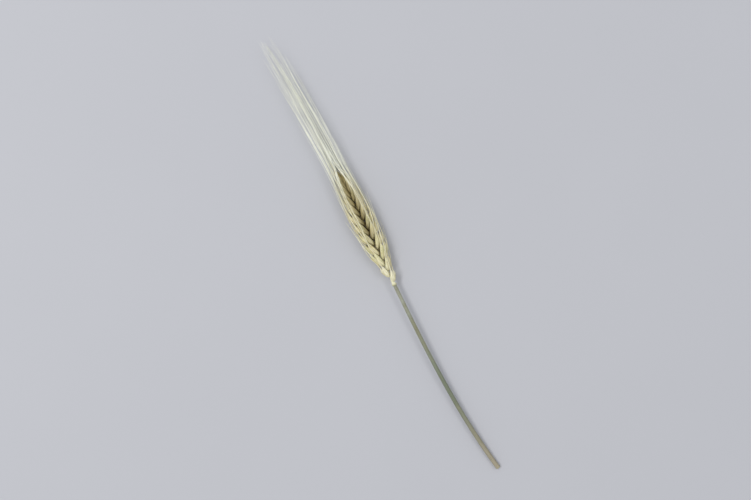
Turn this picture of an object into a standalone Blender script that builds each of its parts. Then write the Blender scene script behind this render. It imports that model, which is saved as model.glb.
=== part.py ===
"""A dried ear of six-row barley on its cut straw, lying on a flat surface.

Two pieces: the hollow straw, and the ear that grows on it. The ear is a zigzag rachis
with three grains in their husks at each node, on alternate sides, so that six rows run
up it. Each husk ends in a long awn.

Metres, +Z up. The plant grows along +Y, and the surface that it lies on is z = 0.
"""

import math

import bmesh
import bpy
import numpy as np
from mathutils import Matrix, Vector

MM = 0.001

# Driving dimensions of the whole plant
STRAW_LENGTH = 112 * MM
EAR_LENGTH = 70 * MM
PLUME_LENGTH = 83 * MM  # how far the awns reach past the ear
EAR_FOOT = (0.96 * MM, -21.22 * MM)  # where the ear starts, in plan
EAR_HEIGHT = 4.42 * MM  # of the ear's axis above the surface
PRESS = 0.12 * MM  # how far the straw's cut end is pressed flat
EAR_ROLL = math.radians(-1.1)  # about its axis, so that it lies on both lower rows
STRAW_SWING = 0.19  # slope of the straw against the ear at the cut, in plan
PLUME_SWING = 0.125  # slope of the plume's end against the ear, in plan

# Straw
STRAW_RADIUS_CUT = 1.2 * MM
STRAW_RADIUS_TOP = 0.95 * MM
WALL = 0.6 * MM
STRAW_POINTS = 15
STRAW_ROUNDNESS = 4
BORE_END = 14 * MM  # the straw is closed for this far under the ear
CUT_SLANT = math.radians(24)
NECK_GAP = 0.3 * MM  # between the straw's top and the ear's collar

# Rachis, the zigzag axis that carries the grains
NODES = 22
FIRST_NODE = 2.2 * MM
LAST_NODE = 61.5 * MM
CROWDING = 0.14  # how much closer the nodes stand towards the tip
COLLAR_RADIUS = 1.35 * MM
RACHIS_WIDE = 1.25 * MM
RACHIS_THIN = 0.85 * MM
ZIGZAG = 0.25 * MM

# Husk: the lemma and palea closed round one grain
HUSK_LENGTH = 10.2 * MM
HUSK_HALF_WIDTH = 1.7 * MM
HUSK_HALF_THICKNESS = 1.25 * MM
HUSK_ROOT = 0.7 * MM  # distance of its root from the rachis's axis
LATERAL_ANGLE = math.radians(53)  # of the side grains round the axis, from the middle one
LEAN_FOOT = math.radians(40)
LEAN_TIP = math.radians(15)
HUSK_STATIONS = (  # share of the length, share of the half width
    (0.00, 0.35),
    (0.17, 0.86),
    (0.42, 1.00),
    (0.68, 0.88),
    (0.89, 0.45),
)

# Awn: the bristle that the husk's back runs out into
AWN_LONGEST = 103 * MM
AWN_RADIUS = 0.40 * MM
AWN_TIP_RADIUS = 0.10 * MM
COVER_RADIUS = 6.0 * MM  # of the surface over the husks that the awns run along
AWN_LAYER = 0.5 * MM  # thickness of one layer of awns there
AWN_LANES = (-22, 8, -8, 22)  # degrees round the axis from the row's line, in turn
LANE_SHIFT = 11 * MM  # distance over which an awn moves into its lane
DRIFT = math.radians(16)  # of an awn out of its lane by the plume's end
PLUME_RADIUS = (0.6 * MM, 7.0 * MM)  # innermost and outermost awns at the plume's end

SEED = 3


def smooth(x):
    """0 below 0, 1 above 1, and an S-shaped step between them."""
    x = min(max(x, 0.0), 1.0)
    return x * x * (3 - 2 * x)


def axis_point(s):
    """The plant's centre line at s, measured from the ear's foot along +Y.

    The straw and the plume swing off the ear's line as cubics, in plan. The straw also
    sinks towards the surface as a parabola, until its cut end lies on it.
    """
    reach = EAR_LENGTH + PLUME_LENGTH
    if s < 0:
        x = -STRAW_SWING * s**3 / (3 * STRAW_LENGTH**2)
        drop = (EAR_HEIGHT + PRESS - STRAW_RADIUS_CUT) * (s / STRAW_LENGTH) ** 2
    else:
        x = -PLUME_SWING * s**3 / (3 * reach**2)
        drop = 0.0
    return np.array([EAR_FOOT[0] + x, EAR_FOOT[1] + s, EAR_HEIGHT - drop])


def axis_frame(s):
    """Unit vectors along the plant, to its right and upwards, at s."""
    step = 0.5 * MM
    along = axis_point(s + step) - axis_point(s - step)
    along /= np.linalg.norm(along)
    right = np.cross(along, [0.0, 0.0, 1.0])
    right /= np.linalg.norm(right)
    return along, right, np.cross(right, along)


def outward(s, azimuth):
    """The direction away from the axis at s, at this angle from its right side."""
    _, right, up = axis_frame(s)
    return math.cos(azimuth) * right + math.sin(azimuth) * up


def above_floor(point, radius):
    """A point of a bristle of this radius, eased up where it would sink into the surface."""
    ease = 0.7 * MM
    height = point[2] - radius
    point[2] = radius + (height + math.hypot(height, ease)) / 2
    return point


def place(s, distance, azimuth):
    """The point at this distance from the axis at s, at this angle from its right side."""
    _, right, up = axis_frame(s)
    return axis_point(s) + distance * (math.cos(azimuth) * right + math.sin(azimuth) * up)


def size_at(u):
    """Size of a grain at share u of the ear: small at the foot, smaller again at the tip."""
    return (0.52 + 0.48 * smooth(u / 0.22)) * (1 - 0.28 * smooth((u - 0.45) / 0.55))


def lean_at(u):
    """How far a grain leans out at share u, against one in the middle of the ear."""
    taper = (1 - 0.42 * smooth((u - 0.45) / 0.55)) * (1 - 0.5 * smooth((u - 0.8) / 0.2))
    return (0.5 + 0.5 * smooth(u / 0.27)) * taper


def awn_length_at(u):
    """Awns are short at the foot and longest at mid ear."""
    return AWN_LONGEST * (0.28 + 0.72 * smooth(u / 0.38)) * (1 - 0.22 * smooth((u - 0.55) / 0.45))


def grains():
    """Yields the place and sizes of every grain, from the foot of the ear to its tip."""
    rng = np.random.default_rng(SEED)
    for node in range(NODES):
        u = node / (NODES - 1)
        climb = (1 + CROWDING) * u - CROWDING * u * u
        s = FIRST_NODE + (LAST_NODE - FIRST_NODE) * climb
        side = math.pi * (node % 2) + EAR_ROLL
        rank = node // 2
        for row in (-1, 0, 1):
            wobble = rng.uniform(-1, 1, 7)
            lane = AWN_LANES[(rank + row) % len(AWN_LANES)]
            layer = (NODES // 2 - 1 - rank) // len(AWN_LANES)
            yield {
                "s": s + 0.2 * MM * wobble[0],
                "azimuth": side + row * (LATERAL_ANGLE + math.radians(2) * wobble[1]),
                "lean": lean_at(u) * (1 + 0.05 * wobble[2]),
                "size": size_at(u) * (1 + 0.03 * wobble[3]) * (1.0 if row == 0 else 0.95),
                "awn": awn_length_at(u) * (1 + 0.06 * wobble[4]),
                "lane": math.radians(lane),
                "drift": DRIFT * (0.5 * math.copysign(1, lane) + 0.5 * wobble[5]),
                "cover": layer * AWN_LAYER,
                "roll": math.radians(6) * wobble[6],
                "u": u,
            }


def husk_line(grain, f):
    """Centre line of a husk at share f of its length, with its heading there.

    It is an arc: the lean falls evenly from the foot's to the tip's.
    """
    foot, tip = LEAN_FOOT * grain["lean"], LEAN_TIP * grain["lean"]
    lean = foot + (tip - foot) * f
    mean = (foot + lean) / 2
    reach = HUSK_LENGTH * grain["size"] * f
    s, distance = grain["s"] + reach * math.cos(mean), HUSK_ROOT + reach * math.sin(mean)
    along, _, _ = axis_frame(s)
    heading = math.cos(lean) * along + math.sin(lean) * outward(s, grain["azimuth"])
    return place(s, distance, grain["azimuth"]), heading, s, distance


def awn_point(grain, x, radius):
    """Centre line of an awn at x from its root.

    It leaves the husk's tip at the husk's lean, comes to run along the cover of the ear
    in its lane, and spreads or closes evenly towards its place in the plume.
    """
    _, _, s, start = husk_line(grain, 1.0)
    share = s / EAR_LENGTH
    narrowing = 1 - 0.42 * smooth((share - 0.45) / 0.55) - 0.3 * smooth((share - 0.85) / 0.15)
    cover = max(COVER_RADIUS * narrowing + grain["cover"], start + 0.3 * MM)
    end = PLUME_RADIUS[0] + (PLUME_RADIUS[1] - PLUME_RADIUS[0]) * (1 - grain["u"]) ** 0.8
    turn = (cover - start) / math.tan(LEAN_TIP * grain["lean"])
    distance = start + (cover - start) * (1 - math.exp(-x / turn))
    distance += (end - cover) * x / (EAR_LENGTH + PLUME_LENGTH - s)
    azimuth = grain["azimuth"] + grain["lane"] * smooth(x / LANE_SHIFT)
    azimuth += grain["drift"] * smooth((s + x) / EAR_LENGTH - 0.7)
    return above_floor(place(s + x, distance, azimuth), radius)


def ring(centre, heading, outer, half_width, half_thickness, count):
    """A closed section across heading: an ellipse of count corners, the first one outermost."""
    across = np.cross(heading, outer)
    across /= np.linalg.norm(across)
    back = np.cross(across, heading)
    angles = 2 * math.pi * np.arange(count) / count
    return [
        centre + back * half_thickness * math.cos(a) + across * half_width * math.sin(a)
        for a in angles
    ]


def bridge(bm, low, high):
    """Faces between two sections, also where one is a single point or has half the corners."""
    n, m = len(low), len(high)
    if m == 1:
        for i in range(n):
            bm.faces.new((low[i], low[(i + 1) % n], high[0]))
    elif n == m:
        for i in range(n):
            j = (i + 1) % n
            bm.faces.new((low[i], low[j], high[j], high[i]))
    else:
        for i in range(m):
            j, k, far = 2 * i, 2 * i + 1, (2 * i + 2) % n
            bm.faces.new((low[j], low[k], high[i]))
            bm.faces.new((low[k], high[(i + 1) % m], high[i]))
            bm.faces.new((low[k], low[far], high[(i + 1) % m]))


def loft(name, sections, collection, material=None):
    """A closed object through the sections, in order. The last one may be a single point."""
    bm = bmesh.new()
    rings = [[bm.verts.new(Vector(p)) for p in section] for section in sections]
    for low, high in zip(rings, rings[1:]):
        bridge(bm, low, high)
    bm.faces.new(rings[0])
    if len(rings[-1]) > 1:
        bm.faces.new(rings[-1])
    bmesh.ops.triangulate(bm, faces=bm.faces[:])
    bmesh.ops.recalc_face_normals(bm, faces=bm.faces[:])
    mesh = bpy.data.meshes.new(name)
    bm.to_mesh(mesh)
    bm.free()
    obj = bpy.data.objects.new(name, mesh)
    collection.objects.link(obj)
    if material:
        mesh.materials.append(material)
    return obj


def husk_and_awn(name, grain, collection):
    """One husk, six-sided, running out into its three-sided awn."""
    out = outward(grain["s"], grain["azimuth"] + grain["roll"])
    size = grain["size"]
    sections = []
    for f, width in HUSK_STATIONS:
        centre, heading, _, _ = husk_line(grain, f)
        wide, thick = HUSK_HALF_WIDTH * size * width, HUSK_HALF_THICKNESS * size * width
        sections.append(ring(centre, heading, out, wide, thick, 6))
    length = grain["awn"]
    for x in (0.0, 0.5 * LANE_SHIFT, 1.2 * LANE_SHIFT, 0.58 * length):
        radius = AWN_RADIUS + (AWN_TIP_RADIUS - AWN_RADIUS) * x / length
        radius *= 0.55 + 0.45 * size
        centre = awn_point(grain, x, radius)
        heading = awn_point(grain, x + 1 * MM, radius) - centre
        sections.append(ring(centre, heading / np.linalg.norm(heading), out, radius, radius, 3))
    sections.append([awn_point(grain, length, AWN_TIP_RADIUS)])
    return loft(name, sections, collection)


def rachis(collection, material):
    """The ear's axis: a round collar on the straw, then a flat strip that zigzags from node to node."""
    sections = []
    for s, radius in ((0.0, 0.8), (0.5 * MM, 1.0), (1.2 * MM, 0.85)):
        along, _, up = axis_frame(s)
        sections.append(ring(axis_point(s), along, up, *(COLLAR_RADIUS * radius,) * 2, 6))
    for node in range(NODES):
        u = node / (NODES - 1)
        climb = (1 + CROWDING) * u - CROWDING * u * u
        s = FIRST_NODE + (LAST_NODE - FIRST_NODE) * climb
        along, right, up = axis_frame(s)
        slim = 1 - 0.35 * u
        centre = axis_point(s) + right * ZIGZAG * (1 if node % 2 else -1)
        sections.append(ring(centre, along, up, RACHIS_THIN * slim, RACHIS_WIDE * slim, 6))
    sections.append([axis_point(LAST_NODE + 2 * MM)])
    return loft("ear", sections, collection, material)


def apply_boolean(obj, operation, solver, **operand):
    """Applies one Boolean to obj and drops the modifier."""
    modifier = obj.modifiers.new(operation.lower(), "BOOLEAN")
    modifier.operation = operation
    modifier.solver = solver
    for key, value in operand.items():
        setattr(modifier, key, value)
    graph = bpy.context.evaluated_depsgraph_get()
    mesh = bpy.data.meshes.new_from_object(obj.evaluated_get(graph))
    obj.modifiers.remove(modifier)
    obj.data = mesh


def keep_largest_shell(mesh):
    """Fills the hollows that the union sealed and drops loose scraps."""
    bm = bmesh.new()
    bm.from_mesh(mesh)
    left, shells = set(bm.verts), []
    while left:
        shell, edge_of_shell = set(), [left.pop()]
        while edge_of_shell:
            vert = edge_of_shell.pop()
            shell.add(vert)
            near = {e.other_vert(vert) for e in vert.link_edges} & left
            left -= near
            edge_of_shell.extend(near)
        shells.append(shell)
    shells.sort(key=len)
    scraps = [vert for shell in shells[:-1] for vert in shell]
    bmesh.ops.delete(bm, geom=scraps, context="VERTS")
    bm.to_mesh(mesh)
    bm.free()


def block(name, centre, size, turn, collection):
    """A box cutter, hidden from renders."""
    bm = bmesh.new()
    bmesh.ops.create_cube(bm, size=1.0)
    mesh = bpy.data.meshes.new(name)
    bm.to_mesh(mesh)
    bm.free()
    mesh.transform(Matrix.Diagonal((*size, 1.0)))
    obj = bpy.data.objects.new(name, mesh)
    obj.location = centre
    obj.rotation_euler = turn
    obj.hide_render = True
    obj.display_type = "WIRE"
    collection.objects.link(obj)
    return obj


def surface_block(collection):
    """A block up to z = 0, which presses small flat spots where the plant lies on the surface."""
    depth = 6 * MM
    return block("surface", (0, 0, -depth / 2), (0.2, 0.4, depth), (0, 0, 0), collection)


def tube(name, start, end, radius_at, collection):
    """A round rod along the plant's axis from start to end, as a mesh with welded caps."""
    curve = bpy.data.curves.new(name, "CURVE")
    curve.dimensions = "3D"
    curve.bevel_depth = 1.0
    curve.bevel_resolution = STRAW_ROUNDNESS
    curve.use_fill_caps = True
    spline = curve.splines.new("POLY")
    spline.points.add(STRAW_POINTS - 1)
    for i, point in enumerate(spline.points):
        s = start + (end - start) * i / (STRAW_POINTS - 1)
        point.co = (*axis_point(s), 1.0)
        point.radius = radius_at(s)
    shape = bpy.data.objects.new(name + "_curve", curve)
    collection.objects.link(shape)
    graph = bpy.context.evaluated_depsgraph_get()
    mesh = bpy.data.meshes.new_from_object(shape.evaluated_get(graph))
    bm = bmesh.new()
    bm.from_mesh(mesh)
    bmesh.ops.remove_doubles(bm, verts=bm.verts[:], dist=0.01 * MM)
    bmesh.ops.recalc_face_normals(bm, faces=bm.faces[:])
    bm.to_mesh(mesh)
    bm.free()
    obj = bpy.data.objects.new(name, mesh)
    obj.matrix_world = shape.matrix_world
    collection.objects.link(obj)
    bpy.data.objects.remove(shape)
    return obj


def straw_radius(s):
    """The straw tapers evenly from the cut to the ear."""
    return STRAW_RADIUS_TOP + (STRAW_RADIUS_CUT - STRAW_RADIUS_TOP) * (-s / STRAW_LENGTH)


def make_straw(parts, cutters, material):
    """The hollow straw, cut on the slant so that the cut faces up."""
    spare = 3 * MM
    straw = tube("straw", -STRAW_LENGTH, -NECK_GAP, straw_radius, parts)
    bore = tube("bore", -STRAW_LENGTH - spare, -BORE_END, lambda s: straw_radius(s) - WALL, cutters)
    bore.hide_render = True
    bore.display_type = "WIRE"
    end = axis_point(-STRAW_LENGTH)
    side = 12 * MM
    reach = side / 2 - STRAW_RADIUS_CUT * math.tan(CUT_SLANT)
    knife = block(
        "knife",
        (end[0], end[1] - reach * math.cos(CUT_SLANT), end[2] + reach * math.sin(CUT_SLANT)),
        (side, side, side),
        (-CUT_SLANT, 0, 0),
        cutters,
    )
    surface = surface_block(cutters)
    bpy.context.view_layer.update()
    for cutter in (bore, knife, surface):
        apply_boolean(straw, "DIFFERENCE", "EXACT", object=cutter)
    straw.data.materials.clear()
    straw.data.materials.append(material)
    straw.data.shade_smooth()
    straw.data.set_sharp_from_angle(angle=math.radians(40))
    return straw


def make_ear(parts, repeats, cutters, material):
    """The rachis with every husk and awn fused to it, pressed flat where it lies."""
    ear = rachis(parts, material)
    for i, grain in enumerate(grains()):
        husk_and_awn(f"husk_{i}", grain, repeats)
    bpy.context.view_layer.update()
    apply_boolean(ear, "UNION", "MANIFOLD", operand_type="COLLECTION", collection=repeats)
    for obj in list(repeats.objects):
        bpy.data.objects.remove(obj)
    surface = surface_block(cutters)
    bpy.context.view_layer.update()
    apply_boolean(ear, "DIFFERENCE", "MANIFOLD", object=surface)
    keep_largest_shell(ear.data)
    ear.data.materials.clear()
    ear.data.materials.append(material)
    ear.data.shade_smooth()
    ear.data.set_sharp_from_angle(angle=math.radians(50))
    return ear


def dry_finish(name, colour, roughness):
    """A matt plant finish of one colour."""
    material = bpy.data.materials.new(name)
    material.use_nodes = True
    shader = material.node_tree.nodes["Principled BSDF"]
    shader.inputs["Base Color"].default_value = (*colour, 1.0)
    shader.inputs["Roughness"].default_value = roughness
    shader.inputs["Metallic"].default_value = 0.0
    return material


def collection(name):
    made = bpy.data.collections.new(name)
    bpy.context.scene.collection.children.link(made)
    return made


def main():
    for obj in list(bpy.data.objects):
        bpy.data.objects.remove(obj)
    parts, repeats, cutters = (collection(n) for n in ("barley_ear", "grains", "cutters"))
    make_straw(parts, cutters, dry_finish("dry_straw", (0.33, 0.35, 0.24), 0.55))
    make_ear(parts, repeats, cutters, dry_finish("dry_husk", (0.62, 0.57, 0.33), 0.6))


main()
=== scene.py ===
"""A dried ear of six-row barley on its cut straw, lying on a pale surface and seen from above.

The straw, the rachis, every husk with its nerves and palea, the glumes, the awns with
their barbs, and the hairs are surfaces worked out from formulas. They follow the solids'
centre lines. Only the awns and the lowest husks leave them a little: the awns lie over the
husks above them, and the lowest husks are a little larger. Metres, +Z up, with the plant
along +Y.
"""

import math

import bpy
import numpy as np
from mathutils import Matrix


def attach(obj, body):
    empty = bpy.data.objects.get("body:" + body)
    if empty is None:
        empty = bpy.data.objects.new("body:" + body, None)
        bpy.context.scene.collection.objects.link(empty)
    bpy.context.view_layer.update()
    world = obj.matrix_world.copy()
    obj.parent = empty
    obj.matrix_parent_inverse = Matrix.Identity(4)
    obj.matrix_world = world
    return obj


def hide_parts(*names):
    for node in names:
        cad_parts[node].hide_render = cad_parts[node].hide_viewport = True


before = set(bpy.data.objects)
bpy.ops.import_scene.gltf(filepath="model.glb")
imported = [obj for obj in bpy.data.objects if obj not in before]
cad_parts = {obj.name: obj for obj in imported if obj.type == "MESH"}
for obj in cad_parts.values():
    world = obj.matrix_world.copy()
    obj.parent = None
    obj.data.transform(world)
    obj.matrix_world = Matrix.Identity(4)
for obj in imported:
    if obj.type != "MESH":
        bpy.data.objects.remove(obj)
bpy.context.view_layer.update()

# The straw: the hollow, finely ribbed stem of the ear, cut on the slant at its lower end so
# that its wall shows. It bends a little to one side and sinks until its end lies on the
# surface, and its top runs on into the ear's collar.

MM = 0.001
STRAW_LENGTH = 112 * MM
EAR_LENGTH = 70 * MM
PLUME_LENGTH = 83 * MM
EAR_FOOT = (0.96 * MM, -21.22 * MM)  # its x and y
EAR_HEIGHT = 4.42 * MM  # of the ear's centre line over the surface
PRESS = 0.12 * MM  # depth of the flat on the straw's end, where it lies
STRAW_SWING = 0.19  # sideways slope of the straw at its cut
PLUME_SWING = 0.125  # sideways slope of the plume at its end
STRAW_RADIUS_CUT = 1.2 * MM
STRAW_RADIUS_TOP = 0.95 * MM
STRAW_CORNERS = 72
STRAW_RINGS = 230
WALL = 0.4 * MM
BORE_END = 14 * MM  # distance of the bore's blind end from the ear
BORE_RINGS = 60
EDGE = 0.03 * MM  # distance between the rings that keep the cut's edges sharp
INTO_COLLAR = 0.25 * MM
CUT_SLANT = math.radians(24)


def smooth(x):
    """0 below 0, 1 above 1, and an S-shaped step between them."""
    x = np.clip(x, 0.0, 1.0)
    return x * x * (3 - 2 * x)


def unit(v):
    """The vectors of an array, each divided by its length."""
    return v / np.linalg.norm(v, axis=-1, keepdims=True)


def turns(corners):
    """The angles of a ring's corners."""
    return 2 * math.pi * np.arange(corners) / corners


def axis_point(s):
    """The plant's centre line at s, measured from the ear's foot along +Y.

    The straw and the plume swing off the ear's line as cubics, in plan, and the straw
    sinks as a parabola.
    """
    s = np.asarray(s, float)
    straw_x = -STRAW_SWING * s**3 / (3 * STRAW_LENGTH**2)
    plume_x = -PLUME_SWING * s**3 / (3 * (EAR_LENGTH + PLUME_LENGTH) ** 2)
    drop = (EAR_HEIGHT + PRESS - STRAW_RADIUS_CUT) * (s / STRAW_LENGTH) ** 2
    x = EAR_FOOT[0] + np.where(s < 0, straw_x, plume_x)
    return np.stack([x, EAR_FOOT[1] + s, EAR_HEIGHT - np.where(s < 0, drop, 0.0)], axis=-1)


def axis_frame(s):
    """Unit vectors along the plant, to its right and upwards, at s."""
    s = np.asarray(s, float)
    along = unit(axis_point(s + 0.5 * MM) - axis_point(s - 0.5 * MM))
    right = unit(np.cross(along, [0.0, 0.0, 1.0]))
    return along, right, np.cross(right, along)


def linked(name, data):
    """A new object with this data, linked into the scene."""
    obj = bpy.data.objects.new(name, data)
    bpy.context.scene.collection.objects.link(obj)
    return obj


def map_tubes(mesh, count, stations, corners):
    """The UV map of a mesh of tubes: u runs round each tube and v along it, both 0 to 1."""
    u0 = np.arange(corners) / corners
    u1, um = u0 + 1 / corners, u0 + 0.5 / corners
    v = np.arange(stations) / (stations - 1)
    shape = (count, stations - 1, corners, 4)
    quad_u = np.broadcast_to(np.stack([u0, u1, u1, u0], axis=-1), shape)
    sides = np.stack([v[:-1], v[:-1], v[1:], v[1:]], axis=-1)
    quad_v = np.broadcast_to(sides[:, None], shape)
    low_u = np.tile(np.stack([um, u1, u0], axis=-1).ravel(), count)
    high_u = np.tile(np.stack([um, u0, u1], axis=-1).ravel(), count)
    uv_u = np.concatenate([quad_u.ravel(), low_u, high_u])
    uv_v = np.concatenate([quad_v.ravel(), np.zeros(low_u.size), np.ones(high_u.size)])
    layer = mesh.uv_layers.new(name="UVMap")
    layer.data.foreach_set("uv", np.stack([uv_u, uv_v], axis=-1).astype(np.float32).ravel())


def tubes(name, rings, lowest=0.0, lifted=False, **marks):
    """One mesh of closed tubes, from rings of points shaped (tube, station, corner, xyz).

    Quads join neighbouring rings, and a fan closes each end to the ring's middle. Each
    mark becomes a value at the points, given per tube or per ring point. A ring that would
    reach below the lowest height is pressed flat there, or is lifted whole.
    """
    count, stations, corners, _ = rings.shape
    rings = rings.copy()
    height = rings[..., 2]
    lowest = np.reshape(lowest, (-1, 1, 1))
    if lifted:
        height += np.maximum(lowest - height.min(axis=2, keepdims=True), 0)
    else:
        np.maximum(height, lowest, out=height)
    ends = np.concatenate([rings[:, 0].mean(axis=1), rings[:, -1].mean(axis=1)])
    points = np.concatenate([rings.reshape(-1, 3), ends])
    index = np.arange(count * stations * corners).reshape(count, stations, corners)
    after = np.roll(index, -1, axis=2)
    quads = np.stack([index[:, :-1], after[:, :-1], after[:, 1:], index[:, 1:]], axis=-1)
    middle = (index.size + np.arange(count))[:, None] + np.zeros((1, corners), int)
    low = np.stack([middle, after[:, 0], index[:, 0]], axis=-1)
    high = np.stack([middle + count, index[:, -1], after[:, -1]], axis=-1)
    faces = quads.reshape(-1, 4).tolist()
    faces += low.reshape(-1, 3).tolist() + high.reshape(-1, 3).tolist()
    mesh = bpy.data.meshes.new(name)
    mesh.from_pydata(points, [], faces)
    map_tubes(mesh, count, stations, corners)
    for mark, value in marks.items():
        value = np.asarray(value, float).reshape(count, -1)
        if value.shape[1] == 1:
            value = np.repeat(value, stations * corners, axis=1)
        full = np.concatenate([value.ravel(), value[:, 0], value[:, -1]])
        store = mesh.attributes.new(mark, "FLOAT", "POINT")
        store.data.foreach_set("value", full.astype(np.float32))
    mesh.shade_smooth()
    return linked(name, mesh)


def put(tree, kind, inputs=None, **settings):
    """Adds a node with these settings. An input is a number or colour, or a socket to link."""
    made = tree.nodes.new(kind)
    for key, value in settings.items():
        setattr(made, key, value)
    for key, value in (inputs or {}).items():
        if isinstance(value, bpy.types.NodeSocket):
            tree.links.new(value, made.inputs[key])
        else:
            made.inputs[key].default_value = value
    return made


def maths(tree, operation, a, b=0.0):
    """A Math node's result."""
    return put(tree, "ShaderNodeMath", {0: a, 1: b}, operation=operation).outputs[0]


def blend(tree, factor, a, b):
    """The colour between a and b at this factor."""
    made = put(tree, "ShaderNodeMix", {0: factor, 6: a, 7: b}, data_type="RGBA")
    return made.outputs[2]


def band(tree, value, low, high):
    """0 where value is at low, 1 where it is at high, smooth between."""
    made = put(
        tree,
        "ShaderNodeMapRange",
        {"Value": value, "From Min": low, "From Max": high},
        interpolation_type="SMOOTHSTEP",
    )
    return made.outputs["Result"]


def attribute(tree, name):
    """The value that a mark gives at the points."""
    return put(tree, "ShaderNodeAttribute", attribute_name=name).outputs["Fac"]


def tube_place(tree):
    """The place round a tube and the place along it, both 0 to 1."""
    uv = put(tree, "ShaderNodeUVMap", uv_map="UVMap").outputs["UV"]
    split = put(tree, "ShaderNodeSeparateXYZ", {"Vector": uv})
    return split.outputs["X"], split.outputs["Y"]


def plant_y(tree):
    """The place along the plant, in metres."""
    place = put(tree, "ShaderNodeTexCoord").outputs["Object"]
    return put(tree, "ShaderNodeSeparateXYZ", {"Vector": place}).outputs["Y"]


def new_group(name, inputs, outputs):
    """A shader node group with these float inputs (name, default) and float outputs."""
    tree = bpy.data.node_groups.new(name, "ShaderNodeTree")
    for title, value in inputs:
        socket = tree.interface.new_socket(title, in_out="INPUT", socket_type="NodeSocketFloat")
        socket.default_value = value
    for title in outputs:
        tree.interface.new_socket(title, in_out="OUTPUT", socket_type="NodeSocketFloat")
    return tree, tree.nodes.new("NodeGroupInput"), tree.nodes.new("NodeGroupOutput")


def fibre_group():
    """Streaks that run along a tube without a seam: noise read on a cylinder of its UV map."""
    inputs = (("Around", 6.0), ("Along", 3.0), ("Seed", 0.0))
    tree, given, result = new_group("plant_fibres", inputs, ("Streaks", "Fine"))
    round_u, along_v = tube_place(tree)
    turn = maths(tree, "MULTIPLY", round_u, 2 * math.pi)
    x = maths(tree, "MULTIPLY", maths(tree, "COSINE", turn), given.outputs["Around"])
    y = maths(tree, "MULTIPLY", maths(tree, "SINE", turn), given.outputs["Around"])
    z = maths(tree, "MULTIPLY", along_v, given.outputs["Along"])
    seed_step = 57.0
    z = maths(tree, "ADD", z, maths(tree, "MULTIPLY", given.outputs["Seed"], seed_step))
    place = put(tree, "ShaderNodeCombineXYZ", {"X": x, "Y": y, "Z": z}).outputs["Vector"]
    for title, scale, detail in (("Streaks", 1.0, 3.0), ("Fine", 3.1, 2.0)):
        values = {"Vector": place, "Scale": scale, "Detail": detail}
        noise = put(tree, "ShaderNodeTexNoise", values)
        tree.links.new(noise.outputs["Fac"], result.inputs[title])
    return tree


def blotch_group():
    """Slow patches in space, for where a plant dried lighter or browner, and for patches within
    painted shade.
    """
    tree, given, result = new_group("dry_and_shade_blotches", (("Scale", 150.0),), ("Patches",))
    place = put(tree, "ShaderNodeTexCoord").outputs["Object"]
    values = {"Vector": place, "Scale": given.outputs["Scale"], "Detail": 3.0, "Roughness": 0.6}
    noise = put(tree, "ShaderNodeTexNoise", values)
    tree.links.new(noise.outputs["Fac"], result.inputs["Patches"])
    return tree


FIBRES, BLOTCHES = fibre_group(), blotch_group()


def fibres(tree, around, along, seed):
    """Coarse streaks and fine ones, this dense around a tube and along it."""
    values = {"Around": around, "Along": along, "Seed": seed}
    made = put(tree, "ShaderNodeGroup", values, node_tree=FIBRES)
    return made.outputs["Streaks"], made.outputs["Fine"]


def blotches(tree, scale):
    """Patches of this scale."""
    return put(tree, "ShaderNodeGroup", {"Scale": scale}, node_tree=BLOTCHES).outputs["Patches"]


def new_material(name, roughness, specular):
    """A material with one Principled shader, and its tree."""
    material = bpy.data.materials.new(name)
    material.use_nodes = True
    shader = material.node_tree.nodes["Principled BSDF"]
    shader.inputs["Roughness"].default_value = roughness
    shader.inputs["Specular IOR Level"].default_value = specular
    return material, material.node_tree


def dress(obj, material, colour, height=None, strength=0.5, depth=0.1 * MM):
    """Gives an object this material, with its colour and a bump from a height, if there is one."""
    tree = material.node_tree
    shader = tree.nodes["Principled BSDF"]
    tree.links.new(colour, shader.inputs["Base Color"])
    if height is not None:
        values = {"Strength": strength, "Distance": depth, "Height": height}
        bump = put(tree, "ShaderNodeBump", values)
        tree.links.new(bump.outputs["Normal"], shader.inputs["Normal"])
    obj.data.materials.append(material)


def straw_rings():
    """Rings down the outside, over the cut wall and up the bore, and which are in the bore.

    Each ring is a circle round the axis, of a radius that tapers evenly along the straw and
    is rippled by fine ribs. Towards the cut the rings lean, so that the last one lies in
    the slanting plane of the cut.
    """
    turn = turns(STRAW_CORNERS)
    from_cut = np.linspace(0, 1, STRAW_RINGS)[::-1] ** 1.25
    outside = INTO_COLLAR - STRAW_LENGTH * (1 - from_cut)
    outside[-2:] = -STRAW_LENGTH + EDGE, -STRAW_LENGTH
    inside = np.linspace(-STRAW_LENGTH, -BORE_END, BORE_RINGS)
    inside[1] = -STRAW_LENGTH + EDGE
    s = np.concatenate([outside, inside, [-BORE_END + 0.4 * MM]])
    bore = np.concatenate([np.zeros(outside.size), np.ones(inside.size + 1)])[:, None]
    down = np.clip(-s / STRAW_LENGTH, 0, 1)[:, None]
    ribs = 0.016 * np.sin(26 * turn) + 0.010 * np.sin(17 * turn + 1.3)
    drift = 0.012 * np.sin(5 * turn + s[:, None] / (9 * MM))
    radius = STRAW_RADIUS_TOP + (STRAW_RADIUS_CUT - STRAW_RADIUS_TOP) * down
    radius = radius * (1 + (ribs + drift) * (1 - bore)) - WALL * bore
    radius[-1] *= 0.3
    rise = radius * np.cos(turn)
    lean = smooth((-s - 0.55 * STRAW_LENGTH) / (0.45 * STRAW_LENGTH)) ** 3
    slip = (rise + STRAW_RADIUS_CUT) * math.tan(CUT_SLANT) * lean[:, None]
    along, right, up = (v[:, None] for v in axis_frame(s))
    rings = axis_point(s)[:, None] + up * rise[..., None] + along * slip[..., None]
    rings += right * (radius * np.sin(turn))[..., None]
    return rings[::-1][None], bore[::-1]


rings, bore = straw_rings()
straw = tubes("straw_stem", rings, bore=np.repeat(bore, STRAW_CORNERS))

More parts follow.
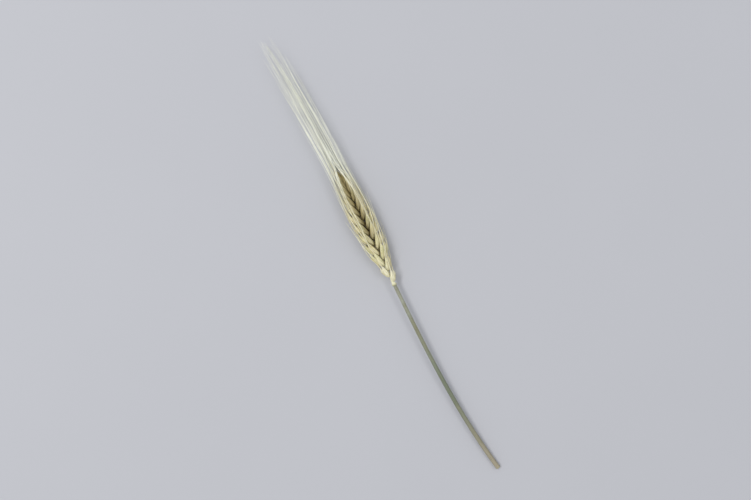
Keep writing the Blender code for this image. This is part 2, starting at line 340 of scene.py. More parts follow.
grey_green = (0.135, 0.156, 0.10, 1)
olive = (0.235, 0.25, 0.185, 1)
pale_grey = (0.35, 0.355, 0.285, 1)
taupe = (0.34, 0.29, 0.20, 1)
dry_patch = (0.21, 0.20, 0.12, 1)
pale_streak = (0.33, 0.34, 0.25, 1)
dark_line = (0.07, 0.075, 0.04, 1)
brown_fleck = (0.13, 0.09, 0.04, 1)
pith = (0.60, 0.54, 0.34, 1)

material, tree = new_material("straw_skin", 0.5, 0.35)
streaks, fine = fibres(tree, 9.0, 7.0, 0.3)
length_y = plant_y(tree)
colour = blend(tree, band(tree, length_y, -85 * MM, -30 * MM), grey_green, olive)
colour = blend(tree, band(tree, length_y, -50 * MM, -22 * MM), colour, pale_grey)
colour = blend(tree, band(tree, length_y, -85 * MM, -134 * MM), colour, taupe)
colour = blend(tree, band(tree, blotches(tree, 70.0), 0.45, 0.7), colour, dry_patch)
light = maths(tree, "MULTIPLY", band(tree, streaks, 0.35, 0.68), 0.35)
colour = blend(tree, light, colour, pale_streak)
colour = blend(tree, band(tree, fine, 0.56, 0.72), colour, dark_line)
colour = blend(tree, band(tree, blotches(tree, 1700.0), 0.66, 0.72), colour, brown_fleck)
colour = blend(tree, attribute(tree, "bore"), colour, pith)
dress(straw, material, colour, streaks, strength=0.5)
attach(straw, "root")
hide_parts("straw")

# The fibres at the cut: ends of the straw's own fibres that tore instead of being cut. They
# stand out of the wall all round the rim.

RIM_FIBRES = 26
RIM_SEED = 11
LOWEST_SPIKE = 0.08 * MM


def spikes(name, foot, way, radius, length):
    """One mesh of three-sided spikes, each from a foot along its way to a point.

    The radius is that of the foot. No point lies below LOWEST_SPIKE.
    """
    foot, way = foot.reshape(-1, 3), unit(way.reshape(-1, 3))
    slanting = [0.31, 0.57, 0.76]
    side = unit(np.cross(way, slanting))
    other = np.cross(way, side)
    size = np.broadcast_to(np.reshape(radius, (-1, 1)), (len(foot), 1))
    reach = np.broadcast_to(np.reshape(length, (-1, 1)), (len(foot), 1))
    corners = [foot + size * (math.cos(a) * side + math.sin(a) * other) for a in turns(3)]
    points = np.stack([*corners, foot + way * reach], axis=1)
    points[..., 2] = np.maximum(points[..., 2], LOWEST_SPIKE)
    faces = np.array([[0, 1, 3], [1, 2, 3], [2, 0, 3], [0, 2, 1]])
    faces = (4 * np.arange(len(foot)))[:, None, None] + faces
    mesh = bpy.data.meshes.new(name)
    mesh.from_pydata(points.reshape(-1, 3), [], faces.reshape(-1, 3).tolist())
    return linked(name, mesh)


def rim_fibres():
    """Feet in the cut wall, and ways along the straw and a little outwards or inwards."""
    dice = np.random.default_rng(RIM_SEED)
    turn = dice.uniform(0, 2 * math.pi, RIM_FIBRES)
    radius = STRAW_RADIUS_CUT - WALL * dice.uniform(0.12, 0.8, RIM_FIBRES)
    s = np.full(RIM_FIBRES, -STRAW_LENGTH)
    along, right, up = axis_frame(s)
    off = np.cos(turn)[:, None] * up + np.sin(turn)[:, None] * right
    sunk = 0.1 * MM
    slip = (radius * np.cos(turn) + STRAW_RADIUS_CUT) * math.tan(CUT_SLANT) + sunk
    foot = axis_point(s) + radius[:, None] * off + slip[:, None] * along
    way = off * dice.uniform(-0.12, 0.08, (RIM_FIBRES, 1)) - along
    return foot, way, 0.04 * MM, dice.uniform(0.14, 0.34, RIM_FIBRES) * MM


fibres_at_rim = spikes("rim_fibres", *rim_fibres())

pale_end = (0.72, 0.66, 0.43, 1)
dull_end = (0.45, 0.39, 0.19, 1)

material, tree = new_material("rim_fibre_skin", 0.6, 0.3)
dress(fibres_at_rim, material, blend(tree, blotches(tree, 900.0), pale_end, dull_end))
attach(fibres_at_rim, "root")
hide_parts("straw")

# The rachis: the tough axis of the ear, a round collar on the straw and then a flattened
# strip that zigzags from node to node. Each internode widens up to its node, where three
# husks are seated.

NODES = 22
FIRST_NODE = 2.2 * MM
LAST_NODE = 61.5 * MM
CROWDING = 0.14  # how much closer the nodes stand towards the tip
COLLAR_RADIUS = 1.35 * MM
RACHIS_WIDE = 1.25 * MM  # half of it, upwards
RACHIS_THIN = 0.85 * MM  # half of it, sideways
RACHIS_TAPER = 0.35
RACHIS_CORNERS = 52
RINGS_PER_NODE = 9
ZIGZAG = 0.25 * MM


def node_place(share):
    """How far up the ear a node stands, from its share of the nodes' number."""
    return FIRST_NODE + (LAST_NODE - FIRST_NODE) * ((1 + CROWDING) * share - CROWDING * share**2)


def rachis_rings():
    """Ellipses round the zigzag line, whose width swells as a power of the way up each internode.

    The collar's rings come first, and two small ones past the last node close the tip.
    """
    turn = turns(RACHIS_CORNERS)
    collar_s = np.array([-0.12, -0.06, 0.06, 0.3, 0.6, 0.95, 1.35]) * MM
    collar_r = COLLAR_RADIUS * np.array([0.72, 0.84, 0.95, 1.0, 0.94, 0.82, 0.74])
    tip_s = LAST_NODE + np.array([0.8, 1.6]) * MM
    count = np.linspace(0, NODES - 1, (NODES - 1) * RINGS_PER_NODE + 1)
    share = count / (NODES - 1)
    size = (1 - RACHIS_TAPER * share) * (0.74 + 0.26 * (count % 1.0) ** 1.6)
    s = np.concatenate([collar_s, node_place(share), tip_s])
    shift = np.concatenate([0 * collar_s, -ZIGZAG * np.cos(math.pi * count), 0 * tip_s])
    across = np.concatenate([collar_r, RACHIS_THIN * size, [0.25 * MM, 0.08 * MM]])
    upward = np.concatenate([collar_r, RACHIS_WIDE * size, [0.4 * MM, 0.1 * MM]])
    _, right, up = (v[:, None] for v in axis_frame(s))
    ribs = 1 + 0.022 * np.sin(13 * turn + 0.4) + 0.03 * np.sin(3 * turn + s[:, None] / (2 * MM))
    rings = axis_point(s)[:, None] + right * shift[:, None, None]
    rings = rings + (ribs * upward[:, None] * np.cos(turn))[..., None] * up
    return (rings + (ribs * across[:, None] * np.sin(turn))[..., None] * right)[None]


rachis = tubes("rachis", rachis_rings())

# The browns below are painted shade, standing in for the shadow in the groove where the rachis
# lies between the husk rows; the rachis itself is straw-coloured
groove_shade_brown = (0.34, 0.27, 0.11, 1)
groove_shade_dark = (0.20, 0.15, 0.06, 1)
groove_shade_patch = (0.15, 0.11, 0.045, 1)
cream = (0.86, 0.84, 0.62, 1)
straw_yellow = (0.66, 0.62, 0.38, 1)
joint_tone = (0.47, 0.45, 0.27, 1)
joint_line = (0.27, 0.24, 0.12, 1)

material, tree = new_material("rachis_skin", 0.6, 0.25)
streaks, fine = fibres(tree, 9.0, 28.0, 0.7)
length_y = plant_y(tree)
painted_shade_tone = blend(tree, streaks, groove_shade_brown, groove_shade_dark)
painted_shade_tone = blend(tree, band(tree, blotches(tree, 300.0), 0.5, 0.7), painted_shade_tone, groove_shade_patch)
bright = blend(tree, band(tree, streaks, 0.3, 0.7), cream, straw_yellow)
# Straw-coloured at the foot, and painted shade from there up for the groove's shadow, with a dull
# end on the straw
colour = blend(tree, band(tree, length_y, -9 * MM, 8 * MM), bright, painted_shade_tone)
colour = blend(tree, band(tree, length_y, -19.6 * MM, -21.3 * MM), colour, joint_tone)
colour = blend(tree, band(tree, length_y, -21.1 * MM, -21.35 * MM), colour, joint_line)
dress(rachis, material, colour, streaks, strength=0.9)
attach(rachis, "root")
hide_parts("ear")

# The husks: a boat-shaped lemma with five nerves, wrapped round each grain and shut by a
# thinner palea with a furrow, whose edges it overlaps. They grow in threes at the nodes,
# on alternate sides, and each lies on the one above it in its row.

EAR_ROLL = math.radians(-1.1)
HUSK_LENGTH = 10.2 * MM
HUSK_HALF_WIDTH = 1.55 * MM
HUSK_HALF_THICKNESS = 1.19 * MM
HUSK_ROOT = 0.7 * MM  # distance of a husk's foot from the axis
LATERAL_ANGLE = math.radians(53)  # from a side's middle row to the rows beside it
LEAN_FOOT = math.radians(40)
LEAN_TIP = math.radians(15)
LOWEST_LEAN = 0.68  # of the lowest husks, as a share of the full lean
LOWEST_SIZE = 0.66  # and as a share of the full size
TOP_SIZE = 0.72
GREENER_AT = 12 * MM
GREENER_REACH = 8 * MM
HUSK_STATIONS = ((0, 0.35), (0.17, 0.86), (0.42, 1.0), (0.68, 0.88), (0.89, 0.45), (1.0, 0.19))
HUSK_RINGS = 30
HUSK_CORNERS = 36
NERVE_ANGLE = 0.78
LEMMA_ANGLE = 1.92  # half of the angle that the lemma wraps
SEED = 3

GRAINS = 3 * NODES
wobble = np.random.default_rng(SEED).uniform(-1, 1, (GRAINS, 7))
node = np.repeat(np.arange(NODES), 3)
row = np.tile([-1, 0, 1], NODES)
share_up = node / (NODES - 1)
upper = smooth((share_up - 0.45) / 0.55)
grain_s = node_place(share_up) + 0.2 * MM * wobble[:, 0]
grain_azimuth = math.pi * (node % 2) + EAR_ROLL
grain_azimuth += row * (LATERAL_ANGLE + math.radians(2) * wobble[:, 1])
grain_lean = LOWEST_LEAN + (1 - LOWEST_LEAN) * smooth(share_up / 0.27)
grain_lean *= (1 - 0.42 * upper) * (1 - 0.5 * smooth((share_up - 0.8) / 0.2))
grain_lean *= 1 + 0.05 * wobble[:, 2]
grain_size = LOWEST_SIZE + (1 - LOWEST_SIZE) * smooth(share_up / 0.20)
grain_size *= (1 - (1 - TOP_SIZE) * upper) * (1 + 0.03 * wobble[:, 3])
grain_size *= np.where(row == 0, 1.0, 0.95)
grain_roll = math.radians(6) * wobble[:, 6]
# Shade 1 is the greenest, and the husks low on the left are near it
on_left = np.cos(grain_azimuth) < 0
greener = np.exp(-(((grain_s - GREENER_AT) / GREENER_REACH) ** 2)) * on_left
grain_shade = np.random.default_rng(SEED + 1).uniform(0, 1, GRAINS)
grain_shade = np.maximum(grain_shade, 0.9 * greener)


def outward(s, azimuth):
    """The direction away from the axis at s, at this angle from its right side."""
    _, right, up = axis_frame(s)
    return np.cos(azimuth)[..., None] * right + np.sin(azimuth)[..., None] * up


def husk_lines(f):
    """Each husk's centre line at shares f of its length: places, headings, s and distances.

    The lean falls evenly from the foot's to the tip's, so the line is an arc.
    """
    lean_foot, lean_tip = LEAN_FOOT * grain_lean[:, None], LEAN_TIP * grain_lean[:, None]
    lean = lean_foot + (lean_tip - lean_foot) * f
    reach = HUSK_LENGTH * grain_size[:, None] * f
    mean = (lean_foot + lean) / 2
    s = grain_s[:, None] + reach * np.cos(mean)
    distance = HUSK_ROOT + reach * np.sin(mean)
    out = outward(s, grain_azimuth[:, None] + 0 * s)
    heading = np.cos(lean)[..., None] * axis_frame(s)[0] + np.sin(lean)[..., None] * out
    return axis_point(s) + distance[..., None] * out, heading, s, distance


def cross_axes(heading, out):
    """Unit vectors across a heading: sideways, and towards out."""
    side = unit(np.cross(heading, out))
    return side, np.cross(side, heading)


def husk_rings():
    """Rings of a rounded back with five ridges and a flatter front with a furrow.

    The half width follows a fifth-degree curve through the husk's stations. The lemma's
    part of the ring stands a little proud of the palea's, with a short step between them.
    """
    f = np.linspace(0, 1, HUSK_RINGS)
    turn = turns(HUSK_CORNERS)
    angle = np.where(turn > math.pi, turn - 2 * math.pi, turn)
    width = np.clip(np.polyval(np.polyfit(*zip(*HUSK_STATIONS), 5), f), 0.17, 1.02)
    middle = np.exp(-(((f - 0.5) / 0.36) ** 4))[:, None]
    at_nerves = (-1.5, -NERVE_ANGLE, 0.0, NERVE_ANGLE, 1.5)
    nerves = sum(np.exp(-(((angle - at) / 0.10) ** 2)) for at in at_nerves)
    lemma = 1 - smooth((np.abs(angle) - LEMMA_ANGLE) / 0.22)
    furrow = np.exp(-(((np.abs(angle) - math.pi) / 0.38) ** 2))
    proud = 1 + middle * (0.045 * nerves + 0.06 * lemma)
    back = np.where(np.cos(turn) > 0, 1.0, 0.82) * np.cos(turn) + 0.2 * middle * furrow
    centre, heading, _, _ = husk_lines(f[None])
    side, outer = cross_axes(heading, outward(grain_s, grain_azimuth + grain_roll)[:, None])
    size = (grain_size[:, None] * width)[..., None] * proud
    upward = (size * HUSK_HALF_THICKNESS * back)[..., None] * outer[:, :, None]
    sideways = (size * HUSK_HALF_WIDTH * np.sin(turn))[..., None] * side[:, :, None]
    return centre[:, :, None] + upward + sideways


def ear_cover(s):
    """Distance from the axis to just over the husks.

    It swells from the foot and narrows to the tip, each as an S.
    """
    swell = smooth((s - 4 * MM) / (21 * MM)) - smooth((s - 38 * MM) / (36 * MM))
    return 2.1 * MM + 3.8 * MM * swell


def painted_shade_in_ear(rings):
    """How far inside the ear points lie, as the mask of painted shade in its recesses: 1 at its
    axis and 0 at its surface.

    It is an S of their distance from the axis, as a share of the ear's cover, which
    reaches further out in the upper ear and is weaker near the foot. In the upper ear it
    is at least a bell curve of the sideways distance, for painted shade in the two grooves
    between the sides.
    """
    s = rings[..., 1] - EAR_FOOT[1]
    off = (rings - axis_point(s))[..., [0, 2]]
    away = np.linalg.norm(off, axis=-1) / ear_cover(s)
    core = 0.28
    reach = 0.5 + 0.42 * smooth((s - 14 * MM) / (23 * MM))
    inside = 1 - smooth((away - core) / (reach - core))
    inside *= 0.30 + 0.70 * smooth((s - 16 * MM) / (15 * MM))
    width = 2.0 * MM + 0.5 * MM * smooth((s - 30 * MM) / (16 * MM))
    groove = 0.95 * np.exp(-((off[..., 0] / width) ** 2)) * smooth((s - 21 * MM) / (12 * MM))
    return np.maximum(inside, groove)


rings = husk_rings()
# Husks that lie on the surface are pressed flat, at heights that differ a little
pressed = 0.012 * MM * (node // 2 % 3)
# The depth mark carries the mask of painted shade for the ear's recesses and grooves
husks = tubes("husks", rings, pressed, shade=grain_shade, depth=painted_shade_in_ear(rings))

pale = (0.83, 0.76, 0.50, 1)
straw_tone = (0.70, 0.59, 0.28, 1)
green = (0.50, 0.50, 0.20, 1)
brown_patch = (0.40, 0.27, 0.09, 1)
dry_tip = (0.78, 0.73, 0.46, 1)
nerve_tone = (0.84, 0.80, 0.54, 1)
palea_tone_and_shade = (0.34, 0.26, 0.09, 1)
brown_fleck = (0.24, 0.14, 0.05, 1)
foot_tone = (0.88, 0.84, 0.62, 1)
# Tones of the painted shade inside the ear
painted_shade_line = (0.17, 0.13, 0.04, 1)
painted_shade_streak = (0.29, 0.23, 0.09, 1)

material, tree = new_material("husk_skin", 0.52, 0.3)
shade = attribute(tree, "shade")
streaks, fine = fibres(tree, 4.0, 2.2, shade)
round_u, along_v = tube_place(tree)
# Distance from the middle of the back: 0 there and 1 at the furrow
from_middle = maths(tree, "SUBTRACT", maths(tree, "MULTIPLY", round_u, 2.0), 1.0)
from_back = maths(tree, "SUBTRACT", 1.0, maths(tree, "ABSOLUTE", from_middle))
colour = blend(tree, band(tree, shade, 0.35, 0.95), straw_tone, green)
streak = band(tree, streaks, 0.36, 0.64)
colour = blend(tree, streak, colour, pale)
browned = maths(tree, "MULTIPLY", band(tree, blotches(tree, 420.0), 0.55, 0.72), 0.55)
colour = blend(tree, browned, colour, brown_patch)
colour = blend(tree, band(tree, along_v, 0.7, 0.98), colour, dry_tip)
# Nerves: pale lines at five places round the back
nerve_spacing = 0.248
nerve_turn = maths(tree, "MULTIPLY", from_back, 2 * math.pi / nerve_spacing)
nerve = band(tree, maths(tree, "COSINE", nerve_turn), 0.86, 0.99)
nerve = maths(tree, "MULTIPLY", nerve, band(tree, from_back, 0.62, 0.56))
colour = blend(tree, maths(tree, "MULTIPLY", nerve, 0.6), colour, nerve_tone)
# The palea side, turned to the axis, is browner: partly the husks' own browner margins, partly
# painted shade in the ear's recesses
colour = blend(tree, band(tree, from_back, 0.6, 0.95), colour, palea_tone_and_shade)
flecks = maths(tree, "MULTIPLY", band(tree, blotches(tree, 1500.0), 0.63, 0.71), 0.6)
colour = blend(tree, flecks, colour, brown_fleck)
colour = blend(tree, band(tree, plant_y(tree), -4 * MM, -14 * MM), colour, foot_tone)
# Painted shade in the ear's recesses and grooves, from the depth mark; it spares the tips, which
# stay paler than the husks' bodies, down in the ear too
painted_shade_amount = maths(tree, "MULTIPLY", attribute(tree, "depth"), band(tree, along_v, 1.15, 0.7))
colour = blend(tree, painted_shade_amount, colour, blend(tree, streak, painted_shade_line, painted_shade_streak))
height = maths(tree, "ADD", fine, maths(tree, "MULTIPLY", nerve, 1.2))
dress(husks, material, colour, height, strength=0.8, depth=0.14 * MM)
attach(husks, "root")
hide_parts("ear")

# The glumes: two narrow, papery scales at the outside foot of each husk. Each one hugs the
# husk's flank and draws out into a short bristle that stands off it.

GLUME_LENGTH = 8.6 * MM
GLUME_HALF_WIDTH = 0.42 * MM
GLUME_HALF_THICKNESS = 0.16 * MM
GLUME_STAND_OFF = 0.9 * MM
GLUME_RINGS = 14
GLUME_CORNERS = 8
GLUME_STATIONS = ((0, 0.5), (0.1, 0.85), (0.3, 1.0), (0.55, 0.5), (0.75, 0.2), (1, 0.08))


def glume_rings():
    """Flat ovals along a line that starts on the husk's flank and leaves it as a square law."""
    f = np.linspace(0, 1, GLUME_RINGS)
    turn = turns(GLUME_CORNERS)
    share = f * GLUME_LENGTH / HUSK_LENGTH
    centre, heading, _, _ = husk_lines(share[None])
    side, outer = cross_axes(heading, outward(grain_s, grain_azimuth)[:, None])
    full = np.interp(share, *zip(*HUSK_STATIONS))
    stand_off = GLUME_STAND_OFF * f**2
    size = grain_size[:, None, None]
    aside = size * (0.66 * HUSK_HALF_WIDTH * full + 0.5 * stand_off)[None, :, None] * side
    above = size * (0.82 * HUSK_HALF_THICKNESS * full + stand_off)[None, :, None] * outer
    middle = np.stack([centre + above + hand * aside for hand in (-1, 1)], axis=1)
    half_width = GLUME_HALF_WIDTH * np.interp(f, *zip(*GLUME_STATIONS))[:, None]
    wide = half_width * np.sin(turn)
    thick = np.minimum(GLUME_HALF_THICKNESS, half_width) * np.cos(turn)
    ring = wide[None, :, :, None] * side[:, :, None] + thick[None, :, :, None] * outer[:, :, None]
    rings = middle[:, :, :, None] + ring[:, None]
    return rings.reshape(2 * GRAINS, GLUME_RINGS, GLUME_CORNERS, 3)


glume_shade = np.random.default_rng(SEED + 2).uniform(0, 1, 2 * GRAINS)
rings = glume_rings()
# The depth mark carries the mask of painted shade for the ear's recesses and grooves
depth = painted_shade_in_ear(rings)
glumes = tubes("glumes", rings, 0.045 * MM, lifted=True, shade=glume_shade, depth=depth)

pale_paper = (0.74, 0.68, 0.41, 1)
dull_paper = (0.58, 0.50, 0.24, 1)
light_streak = (0.80, 0.76, 0.52, 1)
# Tones of the painted shade inside the ear
glume_shade_brown = (0.26, 0.20, 0.08, 1)
glume_shade_tan = (0.42, 0.34, 0.16, 1)

material, tree = new_material("glume_skin", 0.55, 0.3)
shade = attribute(tree, "shade")
streaks, fine = fibres(tree, 2.0, 2.5, shade)
colour = blend(tree, streaks, blend(tree, shade, pale_paper, dull_paper), light_streak)
painted_shade_tone = blend(tree, streaks, glume_shade_brown, glume_shade_tan)
# Painted shade inside the ear, from the depth mark
colour = blend(tree, attribute(tree, "depth"), colour, painted_shade_tone)
dress(glumes, material, colour, fine, strength=0.4)
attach(glumes, "root")
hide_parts("ear")

# The awns: stiff three-ribbed bristles, one drawn out of each lemma's tip. They run up the
# ear over the husks above them and stand past its tip as a narrow plume.

AWN_LONGEST = 99 * MM
AWN_HALF_WIDTH = 0.26 * MM
AWN_ROOT_SWELLING = 0.08 * MM
AWN_ROOT = 1.4 * MM  # length that is sunk in the husk's tip
AWN_RINGS = 46
TWIST_LENGTH = 30 * MM  # of an awn, for one radian of twist
COVER_RADIUS = 6.0 * MM  # of the surface over the husks that the awns run along
AWN_LAYER = 0.5 * MM  # thickness of one layer of awns there
AWN_LANES = np.array([-22, 8, -8, 22])  # degrees
LANE_SHIFT = 18 * MM  # distance over which an awn moves into its lane
GROOVE_OPENING = math.radians(10)  # by which awns keep clear of the grooves
GROOVE_CLOSING = math.radians(15)  # by which they close over them past the ear
CLOSING_FROM = 57 * MM
CLOSING_LENGTH = 17 * MM
DRIFT = math.radians(16)
WAIST = 0.14  # share by which the awns are drawn in there
WAIST_AT = 66 * MM
WAIST_REACH = 20 * MM
LOOSE_REACH = 3.0 * MM  # by which the tips of the lowest awns stand off
PLUME_RADIUS = (1.0 * MM, 8.4 * MM)  # innermost and outermost awns at the plume's end
SWAY_LENGTH = 48 * MM
LYING_RADIUS = (0.40 * MM, 0.10 * MM)  # the solids' awns, root and tip: they set the height

rank = node // 2
lane = AWN_LANES[(rank + row) % 4]
layer = (NODES // 2 - 1 - rank) // 4
awn_length = AWN_LONGEST * (0.28 + 0.72 * smooth(share_up / 0.38))
awn_length *= (1 - 0.22 * smooth((share_up - 0.55) / 0.45)) * (0.95 + 0.10 * wobble[:, 4])
awn_drift = DRIFT * (0.5 * np.sign(lane) + 0.5 * wobble[:, 5])
sway = np.random.default_rng(SEED + 3).uniform(0, 1, (GRAINS, 4))


def along_awn(x):
    """The share of each awn's length that lies below x."""
    return np.clip(x / awn_length[:, None], 0, 1)


def softly_above(x, width):
    """0 for x far below 0 and x far above it, along a hyperbola of this width."""
    return (x + np.hypot(x, width)) / 2


def awn_distance(x, s, start):
    """How far from the axis the awns run at x, from their roots' s and distances.

    An awn leaves its husk at the husk's lean, comes exponentially to the ear's cover, and
    then closes or spreads evenly towards its place in the plume. A bell curve draws it in
    to a waist past the ear's tip. The husks above push it outwards, and the short lowest
    ones stand off as a square law.
    """
    share = s / EAR_LENGTH
    narrowing = 1 - 0.42 * smooth((share - 0.45) / 0.55) - 0.3 * smooth((share - 0.85) / 0.15)
    cover = np.maximum(COVER_RADIUS * narrowing + layer[:, None] * AWN_LAYER, start + 0.3 * MM)
    inner, outer = PLUME_RADIUS
    end = inner + (outer - inner) * (1 - share_up[:, None]) ** 0.8
    turn = (cover - start) / np.tan(LEAN_TIP * grain_lean[:, None])
    distance = start + (cover - start) * (1 - np.exp(-x / turn))
    distance += (end - cover) * x / (EAR_LENGTH + PLUME_LENGTH - s)
    distance *= 1 - WAIST * np.exp(-(((s + x - WAIST_AT) / WAIST_REACH) ** 2))
    over = (ear_cover(s + x) + 0.25 * MM) * (1 - smooth((s + x - 66 * MM) / (18 * MM)))
    distance += softly_above(over - distance, 0.6 * MM) * smooth(x / (7 * MM))
    loose = 1 - smooth((share_up[:, None] - 0.06) / 0.14)
    return distance + LOOSE_REACH * loose * along_awn(x) ** 2


def awn_points(x):
    """Centre lines of the awns at distances x from their roots, shaped (awn, station).

    An awn moves into its lane, keeps clear of the grooves on the ear, closes over them past
    its tip, and drifts and sways slightly in the plume. Near the surface it is eased up to
    lie on it.
    """
    _, _, s, start = husk_lines(np.ones((1, 1)))
    past_tip = smooth((s + x - CLOSING_FROM) / CLOSING_LENGTH)
    aside = row[:, None] * (GROOVE_CLOSING * past_tip - GROOVE_OPENING * (1 - past_tip))
    angle = grain_azimuth[:, None] + (np.radians(lane)[:, None] + aside) * smooth(x / LANE_SHIFT)
    angle += awn_drift[:, None] * smooth((s + x) / EAR_LENGTH - 0.7)
    distance = awn_distance(x, s, start)
    place = axis_point(s + x) + distance[..., None] * outward(s + x, angle)
    grown = 0.22 * MM * smooth(x / (25 * MM)) + 0.5 * MM * smooth((x - 35 * MM) / (60 * MM))
    wave = 2 * math.pi * (x / (SWAY_LENGTH * (1 + sway[:, :1])) + sway[:, 1:2])
    place[..., 0] += grown * np.sin(wave)
    place[..., 2] += grown * np.cos(wave + 6 * sway[:, 2:3])
    root, tip = LYING_RADIUS
    radius = root + (tip - root) * along_awn(x)
    place[..., 2] = radius + softly_above(place[..., 2] - radius, 0.7 * MM)
    return place


def awn_frame(x):
    """Places, headings, sideways and outer directions of the awns at x."""
    place = awn_points(x)
    heading = unit(awn_points(x + 0.5 * MM) - place)
    side, outer = cross_axes(heading, outward(grain_s, grain_azimuth)[:, None])
    return place, heading, side, outer


def awn_radius(x):
    """Half the thickness of an awn at x: a short taper out of the husk's tip, then a long one."""
    root = AWN_ROOT_SWELLING * np.exp(-np.maximum(x, 0) / (4 * MM))
    long_taper = AWN_HALF_WIDTH * (1 - 0.90 * along_awn(x) ** 0.7)
    return (long_taper + root) * (0.45 + 0.55 * smooth(x / AWN_ROOT + 1))


def awn_twist(x):
    """The angle of an awn's first rib at x."""
    return sway[:, 3:4] * 2 + x / TWIST_LENGTH


def awn_rings():
    """Six-cornered rings, three ribs and three hollows, that twist slowly along the awn."""
    q = np.linspace(0, 1, AWN_RINGS) ** 1.25
    x = -AWN_ROOT + (awn_length[:, None] + AWN_ROOT) * q
    place, _, side, outer = awn_frame(x)
    angle = turns(6) + awn_twist(x)[..., None]
    hollow = np.array([0.0, 0.36] * 3) * smooth(x / (5 * MM))[..., None]
    radius = awn_radius(x)[..., None] * (1 - hollow)
    radius[:, -1] *= 0.3
    ring = (radius * np.cos(angle))[..., None] * outer[:, :, None]
    return place[:, :, None] + ring + (radius * np.sin(angle))[..., None] * side[:, :, None]


awns = tubes("awns", awn_rings(), 0.06 * MM, lifted=True, shade=grain_shade)

straw_awn = (0.77, 0.70, 0.47, 1)
pale_awn = (0.80, 0.76, 0.56, 1)
dull_streak = (0.58, 0.52, 0.26, 1)
cream_awn = (0.86, 0.84, 0.64, 1)
near_white = (0.90, 0.905, 0.79, 1)
far_white = (0.885, 0.893, 0.76, 1)
root_tone = (0.66, 0.59, 0.36, 1)

material, tree = new_material("awn_skin", 0.45, 0.4)
shade = attribute(tree, "shade")
streaks, fine = fibres(tree, 1.5, 9.0, shade)
_, along_v = tube_place(tree)
length_y = plant_y(tree)
colour = blend(tree, shade, straw_awn, pale_awn)
colour = blend(tree, maths(tree, "MULTIPLY", streaks, 0.6), colour, dull_streak)
colour = blend(tree, band(tree, along_v, 0.1, 0.7), colour, cream_awn)
# Whiter past the ear: partly the awns' own pale colour, partly painted light that lifts the shade
# among the awns of the plume
colour = blend(tree, band(tree, length_y, 22 * MM, 56 * MM), colour, near_white)
colour = blend(tree, band(tree, length_y, 66 * MM, 95 * MM), colour, far_white)
# The roots have the husks' tone
colour = blend(tree, band(tree, along_v, 0.16, 0.0), colour, root_tone)
dress(awns, material, colour, fine, strength=0.3)
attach(awns, "root")
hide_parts("ear")

# The barbs: tiny teeth on the ribs of every awn, leaning towards its tip, which make it
# rough to stroke backwards.

BARBS_PER_AWN = 150
BARB_LENGTH = 0.34 * MM
BARB_RADIUS = 0.055 * MM


def awn_barbs():
    """Feet and ways of the barbs: evenly strewn along each awn, on its three ribs in turn."""
    dice = np.random.default_rng(SEED + 4)
    number = np.arange(BARBS_PER_AWN)
    q = (number + dice.uniform(0, 1, (GRAINS, BARBS_PER_AWN))) / BARBS_PER_AWN
    x = 2 * MM + (awn_length[:, None] - 3 * MM) * q
    place, heading, side, outer = awn_frame(x)
    rib = 2 * math.pi / 3 * number + awn_twist(x)
    off = np.cos(rib)[..., None] * outer + np.sin(rib)[..., None] * side
    foot = place + off * (0.8 * awn_radius(x))[..., None]
    return foot, heading + 0.36 * off, BARB_RADIUS * (1 - 0.5 * q), BARB_LENGTH * (1 - 0.4 * q)


barbs = spikes("awn_barbs", *awn_barbs())

pale_barb = (0.84, 0.81, 0.62, 1)
dull_barb = (0.70, 0.65, 0.42, 1)

material, tree = new_material("barb_skin", 0.45, 0.4)
dress(barbs, material, blend(tree, blotches(tree, 250.0), pale_barb, dull_barb))
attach(barbs, "root")
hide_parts("ear")

# The hairs: short pale hairs in two fringes along the rachis's edges, and a tuft at the
# foot of each husk.

HAIRS_PER_EDGE = 500
HAIRS_PER_TUFT = 16
HAIR_RADIUS = 0.025 * MM


def hair_feet():
    """Fringes along the rachis's two edges, then tufts at the husks' roots."""
    dice = np.random.default_rng(SEED + 5)
    s = dice.uniform(FIRST_NODE, LAST_NODE, 2 * HAIRS_PER_EDGE)
    edge = np.repeat([1.0, -1.0], HAIRS_PER_EDGE)[:, None]
    along, right, up = axis_frame(s)
    slim = 1 - RACHIS_TAPER * s / LAST_NODE
    fringe = axis_point(s) + edge * up * (0.85 * RACHIS_WIDE * slim)[:, None]
    fringe_way = along + edge * 0.7 * up + dice.uniform(-0.4, 0.4, (s.size, 1)) * right
    root_share = np.full((1, 1), 0.09)
    centre, heading, _, _ = husk_lines(root_share)
    side, outer = cross_axes(heading, outward(grain_s, grain_azimuth)[:, None])
    turn = dice.uniform(0, 2 * math.pi, (GRAINS, HAIRS_PER_TUFT, 1))
    off = np.cos(turn) * outer + np.sin(turn) * side
    tuft = centre + off * (0.55 * HUSK_HALF_WIDTH * grain_size)[:, None, None]
    tuft_way = heading + 0.8 * off
    foot = np.concatenate([fringe, tuft.reshape(-1, 3)])
    way = np.concatenate([fringe_way, tuft_way.reshape(-1, 3)])
    return foot, way, HAIR_RADIUS, dice.uniform(0.4, 0.9, len(foot)) * MM


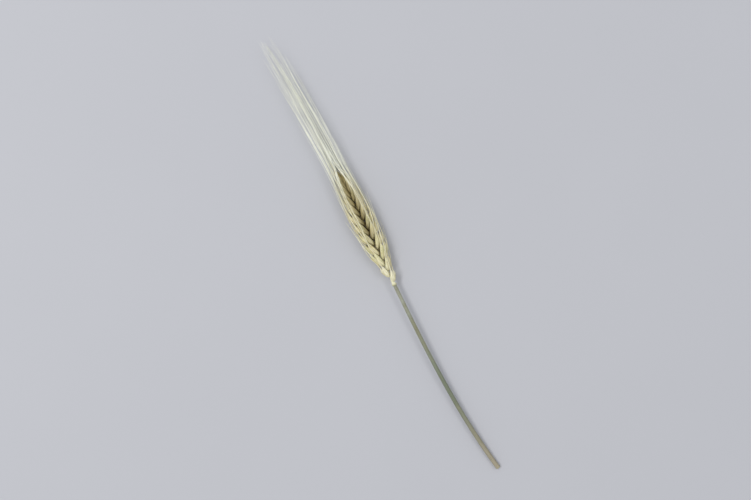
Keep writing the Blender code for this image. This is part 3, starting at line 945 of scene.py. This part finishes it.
hairs = spikes("hairs", *hair_feet())

pale_hair = (0.80, 0.78, 0.62, 1)
dull_hair = (0.62, 0.58, 0.38, 1)

material, tree = new_material("hair_skin", 0.5, 0.4)
dress(hairs, material, blend(tree, blotches(tree, 500.0), pale_hair, dull_hair))
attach(hairs, "root")
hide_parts("ear")

# The stage: a plain pale surface under the ear, a large soft lamp up and to the left of
# the picture, a weak one opposite, and a camera that looks straight down with the ear
# leaning to the left.

FLOOR_SIZE = 3.0
FLOOR_GAP = 0.02 * MM
LAMP_SIZE = 2.6
CAMERA_HEIGHT = 0.9
LENS = 81
LEAN_IN_PICTURE = math.radians(26)

bpy.ops.mesh.primitive_plane_add(size=FLOOR_SIZE, location=(0, 0, -FLOOR_GAP))
floor = bpy.context.object
floor.name = "floor"

grey_paper = (0.45, 0.453, 0.474, 1)
light_paper = (0.473, 0.476, 0.497, 1)

material, tree = new_material("floor_paper", 0.8, 0.2)
dress(floor, material, blend(tree, blotches(tree, 6.0), grey_paper, light_paper))


def lamp(name, power, place):
    """A square soft lamp that faces the origin."""
    light = bpy.data.lights.new(name, "AREA")
    light.energy = power
    light.size = LAMP_SIZE
    obj = linked(name, light)
    obj.location = place
    x, y, z = place
    obj.rotation_euler = (math.acos(z / math.hypot(x, y, z)), 0, math.atan2(-x, y))


lamp("key", 240.0, (-1.9, 1.6, 3.4))
lamp("fill", 80.0, (2.2, -0.9, 3.0))
world = bpy.data.worlds.new("soft_sky")
world.use_nodes = True
sky = world.node_tree.nodes["Background"]
sky.inputs["Color"].default_value = (0.93, 0.95, 1.0, 1)
sky.inputs["Strength"].default_value = 0.7
bpy.context.scene.world = world

camera = bpy.data.cameras.new("camera")
camera.lens = LENS
camera.sensor_width = 36
camera.clip_start = 0.05
camera.clip_end = 10
eye = linked("camera", camera)
eye.location = (0.0, 0.0, CAMERA_HEIGHT)
eye.rotation_euler = (0, 0, -LEAN_IN_PICTURE)
bpy.context.scene.camera = eye
bpy.context.scene.view_settings.view_transform = "Standard"
